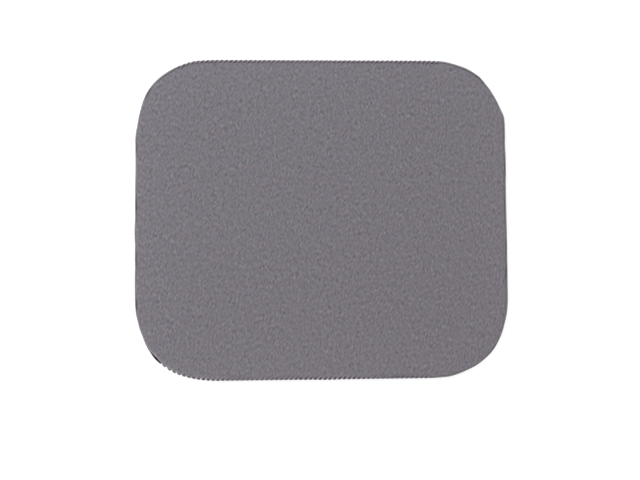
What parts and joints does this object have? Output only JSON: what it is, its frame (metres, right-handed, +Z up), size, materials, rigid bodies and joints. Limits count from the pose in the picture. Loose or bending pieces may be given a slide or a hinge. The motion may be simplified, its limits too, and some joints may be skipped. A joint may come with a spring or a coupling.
{
  "type": "mouse pad",
  "caption": "Soft rectangular desk mouse pad with wide round corners: knitted cloth face on a sponge rubber sheet with a grip skin underneath.",
  "frame": {"origin": "centre of the underside, on the desk", "axes": "+X across the pad's width, +Y to its back edge, +Z up out of the cloth face"},
  "size_m": [0.235, 0.202, 0.006],
  "materials": {
    "knit_cloth": "mauve grey polyester knit with a fine grain",
    "bond_film": "smoky hot-melt adhesive film",
    "sponge_rubber": "dark sponge rubber, die cut, with small open pores",
    "grip_rubber": "dense black rubber skin with an embossed grip"
  },
  "bodies": {
    "root": {"top_cloth": "knit_cloth", "bond_film": "bond_film", "sponge_core": "sponge_rubber", "nonskid_base": "grip_rubber"}
  },
  "joints": []
}
